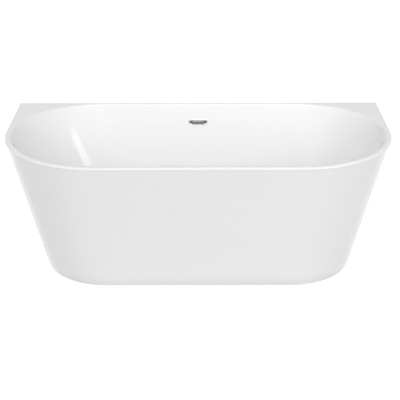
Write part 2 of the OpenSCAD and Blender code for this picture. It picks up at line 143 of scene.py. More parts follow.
class Finish:
    """A Principled material with procedural detail in the object's own space."""

    def __init__(self, title, **constants):
        self.material = bpy.data.materials.new(title)
        self.material.use_nodes = True
        self.tree = self.material.node_tree
        self.shader = self.tree.nodes["Principled BSDF"]
        self.coords = self.tree.nodes.new("ShaderNodeTexCoord").outputs["Object"]
        self.normal = None
        for name, value in constants.items():
            socket = name.replace("_", " ").title().replace("Ior", "IOR")
            self.shader.inputs[socket].default_value = value

    def node(self, kind, links=None, **settings):
        return add_node(self.tree, kind, links, **settings)

    def place(self, scale=(1, 1, 1), turn=(0, 0, 0)):
        return self.node("Mapping", {"Vector": self.coords, "Scale": scale, "Rotation": turn}).outputs[0]

    def noise(self, scale, detail=3.0, rough=0.5, at=None):
        links = {"Vector": at or self.coords, "Scale": scale, "Detail": detail, "Roughness": rough}
        return self.node("TexNoise", links).outputs["Fac"]

    def cells(self, scale, feature="F1", output="Distance", at=None):
        links = {"Vector": at or self.coords, "Scale": scale}
        return self.node("TexVoronoi", links, feature=feature).outputs[output]

    def grey(self, colour):
        return self.node("RGBToBW", {"Color": colour}).outputs[0]

    def math(self, operation, a, b):
        return self.node("Math", {0: a, 1: b}, operation=operation).outputs[0]

    def stretch(self, value, low, high, to_low, to_high):
        links = {"Value": value, 1: low, 2: high, 3: to_low, 4: to_high}
        return self.node("MapRange", links).outputs[0]

    def colours(self, value, *stops):
        ramp = self.node("ValToRGB", {"Fac": value})
        elements = ramp.color_ramp.elements
        while len(elements) < len(stops):
            elements.new(0.5)
        for element, (position, colour) in zip(elements, stops):
            element.position = position
            element.color = (*colour, 1)
        return ramp.outputs[0]

    def mix(self, share, a, b):
        return self.node("Mix", {0: share, 6: a, 7: b}, data_type="RGBA").outputs[2]

    def set(self, socket, source):
        self.tree.links.new(source, self.shader.inputs[socket])

    def bump(self, height, strength, distance):
        links = {"Height": height, "Strength": strength, "Distance": distance}
        if self.normal:
            links["Normal"] = self.normal
        self.normal = self.node("Bump", links).outputs[0]
        self.set("Normal", self.normal)


def acrylic():
    """Cast sanitary acrylic: glossy, with the faint ripple of a drawn sheet."""
    f = Finish("acrylic", ior=1.49, specular_ior_level=0.5)
    whites = (0.3, (0.874, 0.876, 0.878)), (0.7, (0.880, 0.882, 0.884))
    f.set("Base Color", f.colours(f.noise(6, 2), *whites))
    f.set("Roughness", f.stretch(f.noise(35, 4), 0.3, 0.7, 0.025, 0.05))
    f.bump(f.noise(9, 1), 0.1, 0.0006)
    f.bump(f.noise(420, 2), 0.03, 0.00003)
    return f.material


def glass_fibre():
    """Sprayed chopped strands set in resin."""
    f = Finish("glass_fibre", ior=1.52)
    strands = None
    for turn, seed in ((0.3, 1.0), (1.4, 4.0), (2.5, 9.0)):
        at = f.place((260, 26, 150 + 10 * seed), (turn, seed, 2 * turn))
        layer = f.stretch(f.noise(1, 2, 0.6, at), 0.52, 0.62, 0, 1)
        strands = layer if strands is None else f.math("MAXIMUM", strands, layer)
    resin = f.colours(f.noise(9, 5), (0.3, (0.60, 0.56, 0.40)), (0.7, (0.72, 0.69, 0.54)))
    f.set("Base Color", f.mix(f.math("MULTIPLY", strands, 0.55), resin, (0.82, 0.81, 0.74, 1)))
    f.set("Roughness", f.stretch(f.noise(60, 4), 0.3, 0.7, 0.3, 0.6))
    f.bump(f.noise(45, 5, 0.6), 0.6, 0.002)
    f.bump(strands, 0.5, 0.0006)
    return f.material


def plywood():
    """Veneer with long grain, and the plies showing where a face is cut across."""
    f = Finish("plywood")
    grain = f.noise(1, 5, 0.65, f.place((9, 160, 160)))
    face = f.colours(grain, (0.3, (0.46, 0.30, 0.15)), (0.5, (0.62, 0.44, 0.25)),
                     (0.72, (0.70, 0.53, 0.33)))
    height = f.node("SeparateXYZ", {"Vector": f.coords}).outputs["Z"]
    plies = f.math("PINGPONG", f.math("MULTIPLY", height, 400), 1)
    edge = f.colours(plies, (0.35, (0.34, 0.21, 0.11)), (0.65, (0.66, 0.49, 0.30)))
    normal = f.node("SeparateXYZ", {"Vector": f.node("NewGeometry").outputs["True Normal"]}).outputs["Z"]
    upright = f.math("LESS_THAN", f.node("Math", {0: normal}, operation="ABSOLUTE").outputs[0], 0.5)
    f.set("Base Color", f.mix(upright, face, edge))
    f.set("Roughness", f.stretch(grain, 0.3, 0.7, 0.5, 0.8))
    f.bump(grain, 0.4, 0.0005)
    return f.material


def chipboard():
    """Pressed wood flakes of many tones."""
    f = Finish("chipboard")
    flakes = f.cells(1, output="Color", at=f.place((330, 150, 330), (0.2, 0.1, 0.6)))
    tone = f.grey(flakes)
    wood = f.colours(tone, (0.15, (0.36, 0.23, 0.12)), (0.5, (0.58, 0.42, 0.24)),
                     (0.85, (0.74, 0.59, 0.38)))
    f.set("Base Color", f.mix(f.stretch(f.noise(25, 4), 0.4, 0.7, 0, 0.4), wood, (0.62, 0.47, 0.29, 1)))
    f.set("Roughness", f.stretch(tone, 0, 1, 0.6, 0.85))
    f.bump(tone, 0.5, 0.0006)
    f.bump(f.noise(900, 3), 0.3, 0.0002)
    return f.material


def galvanised():
    """Zinc-coated tube with crystal spangle and a few dull blooms."""
    f = Finish("galvanised_steel", metallic=1.0)
    spangle = f.grey(f.cells(85, output="Color"))
    bloom = f.stretch(f.noise(14, 5), 0.45, 0.7, 0, 0.6)
    zinc = f.colours(spangle, (0.1, (0.46, 0.48, 0.50)), (0.9, (0.63, 0.65, 0.67)))
    f.set("Base Color", f.mix(bloom, zinc, (0.66, 0.67, 0.67, 1)))
    f.set("Roughness", f.math("ADD", f.stretch(spangle, 0, 1, 0.28, 0.4), f.math("MULTIPLY", bloom, 0.25)))
    f.bump(f.noise(500, 3), 0.25, 0.0002)
    return f.material


def plated():
    """Bright zinc plate with a faint yellow passivation."""
    f = Finish("plated_steel", metallic=1.0)
    tint = f.noise(70, 3)
    f.set("Base Color", f.colours(tint, (0.35, (0.62, 0.60, 0.52)), (0.65, (0.72, 0.71, 0.66))))
    f.set("Roughness", f.stretch(f.noise(260, 4), 0.3, 0.7, 0.2, 0.36))
    f.bump(f.noise(900, 2), 0.15, 0.0001)
    return f.material


def moulded(name, dark, light, rough, grain, depth):
    """Moulded plastic or rubber with an even spark texture."""
    f = Finish(name)
    f.set("Base Color", f.colours(f.noise(40, 4), (0.3, dark), (0.7, light)))
    f.set("Roughness", f.stretch(f.noise(grain, 3), 0.3, 0.7, rough - 0.07, rough + 0.07))
    f.bump(f.noise(grain * 3, 3), 0.3, depth)
    return f.material


def polished(name, dark, light, rough):
    """Chrome plate, with a breath of haze from cleaning."""
    f = Finish(name, metallic=1.0)
    haze = f.noise(120, 5, 0.6)
    f.set("Base Color", f.colours(haze, (0.3, dark), (0.7, light)))
    f.set("Roughness", f.stretch(haze, 0.3, 0.7, rough, rough + 0.05))
    f.bump(f.noise(60, 1), 0.05, 0.0001)
    return f.material


finishes = {
    "acrylic": acrylic(),
    "glass_fibre": glass_fibre(),
    "plywood": plywood(),
    "chipboard": chipboard(),
    "galvanised_steel": galvanised(),
    "plated_steel": plated(),
    "black_plastic": moulded("black_plastic", (0.018,) * 3, (0.03,) * 3, 0.42, 500, 0.0001),
    "rubber": moulded("rubber", (0.012,) * 3, (0.022,) * 3, 0.75, 700, 0.0002),
    "chrome": polished("chrome", (0.78, 0.79, 0.81), (0.86, 0.87, 0.88), 0.03),
    "dark_chrome": polished("dark_chrome", (0.22, 0.225, 0.23), (0.27, 0.275, 0.28), 0.16),
    "white_plastic": moulded("white_plastic", (0.70, 0.70, 0.68), (0.76, 0.76, 0.74), 0.32, 300, 0.0001),
    "hose_plastic": moulded("hose_plastic", (0.62, 0.62, 0.60), (0.70, 0.70, 0.68), 0.38, 300, 0.0001),
}


# Meshes ----------------------------------------------------------------------
# Edges that turn by more degrees than this stay sharp
SMOOTH = 32


def closed_skin(rings):
    """Points and faces of a surface through rings that comes back to the first."""
    rings = [np.asarray(r, float) for r in rings]
    m, n = len(rings), len(rings[0])
    faces = []
    for j in range(m):
        for i in range(n):
            a, b = j * n + i, j * n + (i + 1) % n
            faces.append((a, b, (j + 1) % m * n + (i + 1) % n, (j + 1) % m * n + i))
    return np.concatenate(rings), faces


def open_skin(rings):
    """Points and faces through rings that don't come back to the first."""
    m, n = len(rings), len(rings[0])
    faces = []
    for j in range(m - 1):
        for i in range(n):
            a, b = j * n + i, j * n + (i + 1) % n
            faces.append((a, b, b + n, a + n))
    return np.concatenate([np.asarray(r, float) for r in rings]), faces


def joined(parts):
    """One set of points and faces from several."""
    points, faces, start = [], [], 0
    for p, f in parts:
        points.append(p)
        faces += [tuple(start + v for v in face) for face in f]
        start += len(p)
    return np.concatenate(points), faces


def moved(part, matrix):
    """The part's points turned and shifted by a 4 x 4 matrix in millimetres."""
    m = np.array(matrix)
    return part[0] @ m[:3, :3].T + m[:3, 3], part[1]


def at(x, y, z=0.0):
    """A shift in millimetres."""
    return Matrix.Translation((x, y, z))


def turned(degrees, axis):
    """A turn about an axis through the origin."""
    return Matrix.Rotation(math.radians(degrees), 4, axis)


def build_mesh(name, part, smooth=SMOOTH):
    """A clean Blender mesh in metres, with edges sharper than smooth degrees kept."""
    points, faces = part
    mesh = bpy.data.meshes.new(name)
    mesh.from_pydata((points * MM).tolist(), [], faces)
    work = bmesh.new()
    work.from_mesh(mesh)
    bmesh.ops.remove_doubles(work, verts=work.verts, dist=2e-6)
    bmesh.ops.dissolve_degenerate(work, edges=work.edges, dist=1e-6)
    bmesh.ops.recalc_face_normals(work, faces=work.faces)
    work.to_mesh(mesh)
    work.free()
    settle(mesh, smooth)
    return mesh


def settle(mesh, smooth):
    """Smooth shading, with the sharp edges kept."""
    mesh.shade_smooth()
    mesh.set_sharp_from_angle(angle=math.radians(smooth))


def piece(name, part, slot, replaces=(), body="tub", smooth=SMOOTH):
    """A named object on its body, in its slot's finish."""
    mesh = part if isinstance(part, bpy.types.Mesh) else build_mesh(name, part, smooth)
    made = bpy.data.objects.new(name, mesh)
    bpy.context.scene.collection.objects.link(made)
    mesh.materials.clear()
    mesh.materials.append(finishes[slot])
    if body:
        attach(made, body)
    if replaces:
        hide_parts(*replaces)
    return made


def cut(made, tools, smooth=SMOOTH):
    """Takes the tools' shapes out of the piece."""
    slot_material = made.data.materials[0]
    for tool in tools:
        mesh = build_mesh("tool", tool)
        cutter = bpy.data.objects.new("tool", mesh)
        bpy.context.scene.collection.objects.link(cutter)
        step = made.modifiers.new("cut", "BOOLEAN")
        step.operation = "DIFFERENCE"
        step.solver = "EXACT"
        step.object = cutter
        depsgraph = bpy.context.evaluated_depsgraph_get()
        result = bpy.data.meshes.new_from_object(made.evaluated_get(depsgraph))
        made.modifiers.clear()
        old, made.data = made.data, result
        bpy.data.meshes.remove(old)
        bpy.data.objects.remove(cutter)
        bpy.data.meshes.remove(mesh)
    made.data.materials.clear()
    made.data.materials.append(slot_material)
    settle(made.data, smooth)
    return made


def filleted(corners, radius, steps=4):
    """A closed outline of (r, z) or (x, y) corners with each corner rounded."""
    corners = [np.array(c, float) for c in corners]
    out = []
    for i, c in enumerate(corners):
        a, b = corners[i - 1] - c, corners[(i + 1) % len(corners)] - c
        la, lb = np.linalg.norm(a), np.linalg.norm(b)
        on_axis = abs(c[0]) < 1e-6
        reach = 0 if on_axis else min(radius, la * 0.45, lb * 0.45)
        if reach < 1e-3:
            out.append(c)
            continue
        p, q = c + a / la * reach, c + b / lb * reach
        for k in range(steps + 1):
            t = k / steps
            out.append(p * (1 - t) ** 2 + c * 2 * t * (1 - t) + q * t * t)
    return out


def lathe(corners, fillet=0.6, sides=64, steps=3, swell=None):
    """A turned solid from a closed (r, z) outline; swell(angle) scales radii."""
    outline = filleted(corners, fillet, steps)
    angles = np.linspace(0, 2 * math.pi, sides, endpoint=False)
    grow = np.ones(sides) if swell is None else np.array([swell(a) for a in angles])
    rings = []
    for r, z in outline:
        radii = r * grow if swell is not None and swell.when(r) else np.full(sides, r)
        rings.append(np.c_[radii * np.cos(angles), radii * np.sin(angles), np.full(sides, z)])
    return closed_skin(rings)


class Ribs:
    """Grip ribs: radii over the limit swell by height mm, count times round."""

    def __init__(self, count, height, limit):
        self.count, self.height, self.limit = count, height, limit

    def when(self, r):
        return r > self.limit

    def __call__(self, angle):
        wave = 0.5 + 0.5 * math.cos(self.count * angle)
        return 1 + self.height / self.limit * max(0.0, 2 * wave - 1) ** 0.6


def box_part(low, high, edge=1.0):
    """A box with rounded long edges, as a stack of rounded rectangles."""
    low, high = np.array(low, float), np.array(high, float)
    size, middle = high - low, (high + low) / 2
    return moved(slab(size[0], size[1], edge * 1.5, size[2], edge), at(*middle[:2], low[2]))


RING_STEPS = 6
RING_POINTS = 4 * (RING_STEPS + 1)


def rounded_ring(w, h, r, z, steps=RING_STEPS):
    """Points round a w x h rectangle with corner radius r, at height z."""
    r = max(min(r, w / 2 - 1e-3, h / 2 - 1e-3), 1e-3)
    ring = []
    for q in range(4):
        cx = (w / 2 - r) * (1 if q in (0, 3) else -1)
        cy = (h / 2 - r) * (1 if q < 2 else -1)
        for i in range(steps + 1):
            a = math.pi / 2 * (q + i / steps)
            ring.append((cx + r * math.cos(a), cy + r * math.sin(a), z))
    return np.array(ring)


def slab(w, h, r, thickness, edge, steps=3):
    """A flat plate standing on z = 0, its edges rounded by edge."""
    rings = [np.zeros((RING_POINTS, 3))]
    for z0, sign in ((0, -1), (thickness, 1)):
        for k in range(steps + 1) if sign < 0 else range(steps, -1, -1):
            a = math.pi / 2 * k / steps
            inset = edge * (1 - math.sin(a))
            z = z0 - sign * edge * (1 - math.cos(a))
            rings.append(rounded_ring(w - 2 * inset, h - 2 * inset, r - inset, z))
    rings.append(np.tile((0, 0, thickness), (RING_POINTS, 1)).astype(float))
    return open_skin(rings)


# Basin and apron -------------------------------------------------------------
# An outline is half its length, its front and its back, the radius of the front corners,
# the back corners' radii along X and Y, its height, and 1 where the back is square.
# OUTWARD is what an outline gains when it grows by a millimetre.
OUTWARD = np.array([1, -1, 1, 1, 1, 1, 0, 0], float)
BACK_CORNER_Y = DEPTH - RIM_CORNER
EDGE_R = 5


def mix(a, b, t):
    """From a at t = 0 to b at t = 1."""
    return a * (1 - t) + b * t


def bends(a, b, c, steps):
    """Steps along a curve from a to c that bends towards b."""
    ts = [i / steps for i in range(steps + 1)]
    return [a * (1 - t) ** 2 + b * 2 * t * (1 - t) + c * t * t for t in ts]


def at_z(p, z):
    """The outline p at another height."""
    out = np.array(p, float)
    out[6] = z
    return out


def outer(z, inset):
    """The apron's outline at height z, moved in by inset."""
    k = (HEIGHT - z) / HEIGHT
    r = mix(RIM_CORNER, BASE_CORNER, k)
    return np.array([LENGTH / 2 - SIDE_TAPER * k, -DEPTH / 2 + FRONT_TAPER * k, DEPTH / 2, r, r,
                     mix(BACK_CORNER_Y, BASE_CORNER, k), z, 1.0]) - inset * OUTWARD


BASIN_TOP = np.array([LENGTH / 2 - RIM_WIDTH, -DEPTH / 2 + RIM_WIDTH, DEPTH / 2 - RIM_WIDTH,
                      RIM_CORNER - RIM_WIDTH, RIM_CORNER - RIM_WIDTH,
                      BACK_CORNER_Y - RIM_WIDTH, HEIGHT, 0.0])
BASIN_LOW = np.array([FLOOR_HALF_LENGTH, BASIN_TOP[1] + FRONT_LEAN, BASIN_TOP[2] - BACK_LEAN,
                      FLOOR_CORNER, FLOOR_CORNER, FLOOR_CORNER - 10, BASIN_FLOOR, 0.0])


def wall(z):
    """The outline of the basin's wall at height z, as if it ran straight down."""
    return mix(BASIN_LOW, BASIN_TOP, (z - BASIN_FLOOR) / (HEIGHT - BASIN_FLOOR))


OVERFLOW_Y = wall(OVERFLOW_Z)[2]


def quarter(p, q, steps):
    """A corner of the outline; a squared back corner gets a small true radius."""
    half, front, back, rf, rx, ry, z, square = p
    sx = 1 if q in (0, 3) else -1
    cx, cy, ax, ay = sx * (half - rf), front + rf, rf, rf
    if q < 2:
        cx, cy, ax, ay = sx * (half - rx), back - ry, rx, ry
    if q >= 2 or square < 0.5:
        angles = [math.pi / 2 * (q + i / steps) for i in range(steps + 1)]
        return [(cx + ax * math.cos(a), cy + ay * math.sin(a), z) for a in angles]
    small = max(EDGE_R - (DEPTH / 2 - back), 0.4)
    third = steps // 3
    inner_x, inner_y = cx + sx * (ax - small), cy + ay - small
    side = [(cx + sx * ax, mix(cy, inner_y, i / third), z) for i in range(third)]
    arc = []
    for i in range(steps - 2 * third + 1):
        a = math.pi / 2 * i / (steps - 2 * third)
        arc.append((inner_x + sx * small * math.cos(a), inner_y + small * math.sin(a), z))
    top = [(mix(inner_x, cx, (i + 1) / third), cy + ay, z) for i in range(third)]
    points = side + arc + top
    return points if q == 0 else points[::-1]


def ring(p, steps=30, straights=(8, 2, 8, 2)):
    """An outline's points: four corners with the straight runs between split up."""
    corners = [quarter(p, q, steps) for q in range(4)]
    points = []
    for q in range(4):
        points += corners[q]
        a, b = np.array(corners[q][-1]), np.array(corners[(q + 1) % 4][0])
        points += [tuple(mix(a, b, i / straights[q])) for i in range(1, straights[q])]
    return np.array(points)


def circle_like(outline, r, z):
    """A circle with a point for each point of the outline, in the same direction."""
    angles = np.linspace(0, 2 * math.pi, len(outline), endpoint=False)
    first = math.atan2(outline[0][1], outline[0][0])
    return np.c_[r * np.cos(angles + first), r * np.sin(angles + first), np.full(len(outline), z)]


def basin_rings(d, rim_steps=8, wall_steps=12, sweep_steps=12, floor_steps=4, **kw):
    """Rings of the basin's surface, d mm into the material, from lip to drain."""
    r_out, r_in = max(OUTER_ROUND - d, 1.5), max(INNER_ROUND - d, 1.5)
    top, low = HEIGHT - d, BASIN_FLOOR - d
    rings = [outer(HEIGHT - LIP_DROP, d)]
    rings += bends(at_z(outer(HEIGHT, d), top - r_out), at_z(outer(HEIGHT, d), top),
                   at_z(outer(HEIGHT, d + r_out), top), rim_steps)
    rings += bends(at_z(BASIN_TOP + (d + r_in) * OUTWARD, top), at_z(BASIN_TOP + d * OUTWARD, top),
                   wall(top - r_in) + d * OUTWARD, rim_steps)
    start, end = wall(top - r_in) + d * OUTWARD, wall(BASIN_FLOOR + FLOOR_SWEEP) + d * OUTWARD
    rings += [mix(start, end, i / wall_steps) for i in range(1, wall_steps)]
    rings += bends(end, at_z(BASIN_LOW + d * OUTWARD, low),
                   at_z(BASIN_LOW - FLOOR_SWEEP * OUTWARD, low), sweep_steps)
    points = [ring(p, **kw) for p in rings]
    edge, hole = points[-1], circle_like(points[-1], DRAIN_R, low)
    points += [mix(edge, hole, (i / floor_steps) ** 0.7) for i in range(1, floor_steps)]
    points.append(hole)
    return points


def wall_frame():
    """Local X along the tub, local Y into the back wall, origin at the overflow."""
    return at(0, OVERFLOW_Y, OVERFLOW_Z) @ turned(-math.degrees(WALL_LEAN), "X")


def into_wall(part):
    """Turns a part built flat, its +Z out of the wall, onto the back wall."""
    return moved(part, wall_frame() @ turned(90, "X"))


def overflow_slot():
    return into_wall(moved(slab(TRIM[0] - 8, TRIM[1] - 6, 4, 60, 0.01), at(0, 0, -35)))


basin = piece("basin", closed_skin(basin_rings(0) + basin_rings(ACRYLIC)[::-1]),
              "acrylic", ["basin_shell"])
cut(basin, [overflow_slot()])


def laminate():
    """The backing: smooth against the acrylic, lumpy outside, less so at the rim and below."""
    near, far = (basin_rings(d, 4, 40, 14, 22, steps=40, straights=(50, 3, 50, 3))
                 for d in (ACRYLIC, ACRYLIC + LAMINATE))
    stack = np.array(far)
    down = np.gradient(stack, axis=0)
    along = np.roll(stack, -1, axis=1) - np.roll(stack, 1, axis=1)
    normals = np.cross(along, down)
    normals /= np.linalg.norm(normals, axis=2, keepdims=True) + 1e-9
    for j in range(len(stack)):
        for i in range(stack.shape[1]):
            p = Vector(stack[j, i])
            lump = noise.noise(p / 34) * 0.9 + noise.noise(p / 11 + Vector((7, 3, 1))) * 0.5
            share = 1 if BASIN_FLOOR - 8 < p.z < HEIGHT - 25 else 0.15
            stack[j, i] += normals[j, i] * lump * share
    return closed_skin(near + list(stack)[::-1])


backing = piece("basin_backing", laminate(), "glass_fibre", ["basin_laminate"], smooth=50)
cut(backing, [overflow_slot()], smooth=50)


def apron_rings():
    """Rings down the outside, round the turned-in foot and up the inside."""
    top, foot, lip = HEIGHT - LIP_DROP, FLOOR_GAP, 25
    rings = [outer(mix(top, foot + 2, i / 12), 0) for i in range(13)]
    rings += [outer(foot + 0.6, 0.6), outer(foot, 2)]
    rings += [outer(foot, lip - 1.5), outer(foot + 1.5, lip), outer(foot + ACRYLIC - 1.5, lip)]
    rings += [outer(foot + ACRYLIC, lip - 1.5), outer(foot + ACRYLIC, ACRYLIC + 6)]
    rings += [outer(foot + ACRYLIC + 2, ACRYLIC + 2), outer(foot + ACRYLIC + 6, ACRYLIC)]
    rings += [outer(mix(foot + ACRYLIC + 6, top, i / 12), ACRYLIC) for i in range(1, 13)]
    return [ring(p) for p in rings]


def access_cut():
    """The opening for the plumbing, with a clean routed edge."""
    flat = slab(ACCESS[0], 2 * ACCESS[1], ACCESS_CORNER, 60, 0.01, 1)
    return moved(flat, at(0, DEPTH / 2 + 30, 0) @ turned(90, "X"))


apron = piece("apron", closed_skin(apron_rings()), "acrylic", ["outer_skirt"])
cut(apron, [access_cut()])
apron.data.materials.append(finishes["glass_fibre"])


def face_the_inside(mesh):
    """The apron's hidden side shows the laid-up fibre."""
    for face in mesh.polygons:
        c = face.center / MM
        limit = outer(c.z, ACRYLIC - 0.5)
        inside = abs(c.x) < limit[0] - 1 and limit[1] < c.y < limit[2]
        toward = face.normal.x * c.x + face.normal.y * c.y < -1e-6
        if inside and toward and c.z > FLOOR_GAP + ACRYLIC + 0.5:
            face.material_index = 1


face_the_inside(apron.data)


# Carried-over CAD nodes ------------------------------------------------------
def keep_cad(name, bevel):
    """A CAD node that stays, with its slot's finish and broken edges."""
    made = nodes[name]
    slot = next(s["material_slot"] for s in frame["record"]["subparts"] if s["node"] == name)
    made.data.materials.clear()
    made.data.materials.append(finishes[slot])
    if bevel:
        step = made.modifiers.new("edges", "BEVEL")
        step.width = bevel * MM
        step.segments = 2
        step.limit_method = "ANGLE"
        step.angle_limit = math.radians(40)
        step.use_clamp_overlap = True
    settle(made.data, SMOOTH)


for name, bevel in {
    "deck_gusset_left": 0.8, "deck_gusset_right": 0.8, "base_board": 0.8, "rail_end_caps": 0.8,
    "skirt_brackets": 0.5, "flange_gasket": 0, "waste_gasket": 0.4, "trap_dip_tube": 0.3,
    "overflow_gasket": 0, "overflow_housing": 0.8, "overflow_screws": 0,
}.items():
    keep_cad(name, bevel)


# Cradle ----------------------------------------------------------------------
def square_tube(length, corner=3.0, wall_t=2.0):
    """A hollow square tube along X, centred."""
    rings = []
    for size, r, ends in ((TUBE, corner, (-1, 1)), (TUBE - 2 * wall_t, corner - wall_t, (1, -1))):
        for x in (end * length / 2 for end in ends):
            flat = rounded_ring(size, size, r, 0, 4)
            rings.append(np.c_[np.full(len(flat), x), flat[:, 0], flat[:, 1]])
    return closed_skin(rings)


def rod(r, z0, z1):
    """A plain upright rod."""
    return lathe([(0, z0), (r, z0), (r, z1), (0, z1)], 0, 32)


RAIL_MID = RAIL_LOW + TUBE / 2
for name, y in (("frame_rail_front", -RAIL_Y), ("frame_rail_rear", RAIL_Y)):
    rail = piece(name.replace("frame_", ""), moved(square_tube(RAIL_LENGTH), at(0, y, RAIL_MID)),
                 "galvanised_steel", [name])
    holes = [moved(rod(7, -8, 8), at(x, y, RAIL_LOW)) for x, fy in FEET if fy == y]
    cut(rail, holes)

bar = moved(square_tube(2 * RAIL_Y - TUBE), turned(90, "Z"))
piece("crossbars", joined([moved(bar, at(x, 0, RAIL_MID)) for x in CROSSBAR_X]),
      "galvanised_steel", ["frame_crossbars"])


def tube_along(path, radii, sides=20, inner=None):
    """A round tube through a path's points; radii may differ along it."""
    path = np.asarray(path, float)
    tangents = np.gradient(path, axis=0)
    tangents /= np.linalg.norm(tangents, axis=1, keepdims=True)
    side = np.cross(tangents[0], (0.0, 0.0, 1.0))
    if np.linalg.norm(side) < 0.1:
        side = np.cross(tangents[0], (1.0, 0.0, 0.0))
    frames = []
    for t in tangents:
        side = side - t * (side @ t)
        side /= np.linalg.norm(side)
        frames.append((side.copy(), np.cross(t, side)))
    angles = np.linspace(0, 2 * math.pi, sides, endpoint=False)

    def ring_at(k, r):
        u, v = frames[k]
        return path[k] + r * (np.outer(np.cos(angles), u) + np.outer(np.sin(angles), v))

    rings = [ring_at(k, radii[k]) for k in range(len(path))]
    if inner is None:
        rings = [np.tile(path[0], (sides, 1))] + rings + [np.tile(path[-1], (sides, 1))]
        return open_skin(rings)
    return closed_skin(rings + [ring_at(k, inner) for k in reversed(range(len(path)))])


def weld_beads():
    """A rippled fillet round three sides of each butt joint."""
    random.seed(4)
    beads = []
    for x in CROSSBAR_X:
        for s in (-1, 1):
            y = s * (RAIL_Y - TUBE / 2)
            half = TUBE / 2
            corners = [(-half, half - 2), (-half, -half), (half, -half), (half, half - 2)]
            path, radii, count = [], [], 14
            for a, b in zip(corners, corners[1:]):
                for i in range(count):
                    u, v = mix(np.array(a), np.array(b), i / count)
                    path.append((x + u, y - s * 0.4, RAIL_MID + v))
                    radii.append(1.9 + 0.5 * (len(path) % 2) + random.uniform(-0.15, 0.15))
            beads.append(tube_along(path, radii, 10))
    return joined(beads)


piece("weld_beads", weld_beads(), "galvanised_steel", smooth=60)


def hex_nut(across, bore, height):
    """A chamfered hexagon nut standing on z = 0."""
    half = across / 2
    sides = 72
    angles = np.linspace(0, 2 * math.pi, sides, endpoint=False)
    edge = half / np.cos((angles % (math.pi / 3)) - math.pi / 6)
    drop = (edge - half * 0.95) * math.tan(math.radians(30))

    def around(radii, z):
        return np.c_[radii * np.cos(angles), radii * np.sin(angles), np.broadcast_to(z, sides)]

    return closed_skin([
        around(np.full(sides, bore), 0.8), around(np.full(sides, bore + 0.8), 0),
        around(np.full(sides, half * 0.95), 0), around(edge, drop),
        around(edge, height - drop), around(np.full(sides, half * 0.95), height),
        around(np.full(sides, bore + 0.8), height), around(np.full(sides, bore), height - 0.8),
    ])


NUTS = [("rail_nuts", "weld_nuts", RAIL_LOW - 10, 10), ("lock_nuts", "foot_locknuts", 95.8, 7)]
for name, node, z, height in NUTS:
    nut = hex_nut(NUT_ACROSS, SPINDLE_R + 0.05, height)
    nuts = joined([moved(nut, at(x, y, z)) for x, y in FEET])
    piece(name, nuts, "plated_steel", [node], smooth=25)


def screw_head(r, height):
    """A pan head pointing down from z = 0, with a cross recess."""
    dome = [(0, 0), (r, 0), (r * 0.98, -height * 0.45), (r * 0.8, -height * 0.85), (0, -height)]
    head = build_mesh("head", lathe(dome, 0.4, 40))
    holder = bpy.data.objects.new("head", head)
    bpy.context.scene.collection.objects.link(holder)
    holder.data.materials.append(finishes["plated_steel"])
    arm = [moved(box_part((-r * 0.58, -0.55, -height - 1), (r * 0.58, 0.55, -height * 0.35), 0.05),
                 turned(a, "Z")) for a in (0, 90)]
    cut(holder, arm)
    co = np.array([v.co for v in holder.data.vertices]) / MM
    part = co, [tuple(f.vertices) for f in holder.data.polygons]
    bpy.data.objects.remove(holder)
    return part


pan = screw_head(5, 3)
shank = lathe([(0, -0.2), (2, -0.2), (2, 41), (0, 41)], 0, 16)
random.seed(7)
screw = joined([pan, shank])
screws = [moved(screw, at(x, y, RAIL_LOW) @ turned(random.uniform(0, 90), "Z"))
          for x, y in FRAME_SCREWS]
piece("cradle_screws", joined(screws), "plated_steel", ["frame_screws"])
heads = [moved(pan, at(x, y, RAIL_LOW - 3) @ turned(random.uniform(0, 90), "Z"))
         for x, y in BRACKET_SCREWS]
piece("strap_screws", joined(heads), "plated_steel", ["bracket_screws"])


# Feet ------------------------------------------------------------------------
def threaded_rod(r, z0, z1, sides=24, per_turn=6):
    """A rod with a true right-hand thread of the spindle's pitch."""
    rings = []
    count = int((z1 - z0) / PITCH * per_turn)
    angles = np.linspace(0, 2 * math.pi, sides, endpoint=False)
    for k in range(count + 1):
        z = z0 + (z1 - z0) * k / count
        depth = 0.9 * min(1.0, (z1 - z) / 2, (z - z0) / 2 + 0.2)
        tooth = 0.5 - 0.5 * np.cos(2 * math.pi * z / PITCH - angles)
        taper = max(0.0, 1.0 - (z1 - z)) * 0.8
        radii = r - depth * tooth - taper
        rings.append(np.c_[radii * np.cos(angles), radii * np.sin(angles), np.full(sides, z)])
    low, high = np.tile((0, 0, z0), (sides, 1)), np.tile((0, 0, z1), (sides, 1))
    return open_skin([low, *rings, high])


foot_spindle = joined([
    lathe([(0, 12.1), (8, 12.1), (8, 26), (0, 26)], 0.6, 40),
    moved(hex_nut(NUT_ACROSS, 0.4, 8), at(0, 0, 26)),
    threaded_rod(SPINDLE_R, 33.9, SPINDLE_TOP),
])
pad_profile = [(0, 3), (25, 3), (27, 5), (27, 8), (24, 10), (14, 21), (13, 24),
               (8.1, 24), (8.1, 12), (0, 12)]
rib = box_part((12, -1.1, 6), (22.5, 1.1, 17), 0.4)
high = rib[0][:, 2] > 12
rib[0][high, 2] = np.maximum(10.5, 34.5 - rib[0][high, 0])
pad_ribs = [moved(rib, turned(45 * k, "Z")) for k in range(8)]
foot_pad = joined([lathe(pad_profile, 1.0, 56), *pad_ribs])
grooves = [(7, 0), (8, 1), (10, 1), (11, 0), (15, 0), (16, 1), (18, 1), (19, 0)]
foot_sole = lathe([(0, 0), *grooves, (25, 0), (25, 3), (0, 3)], 0.4, 56)

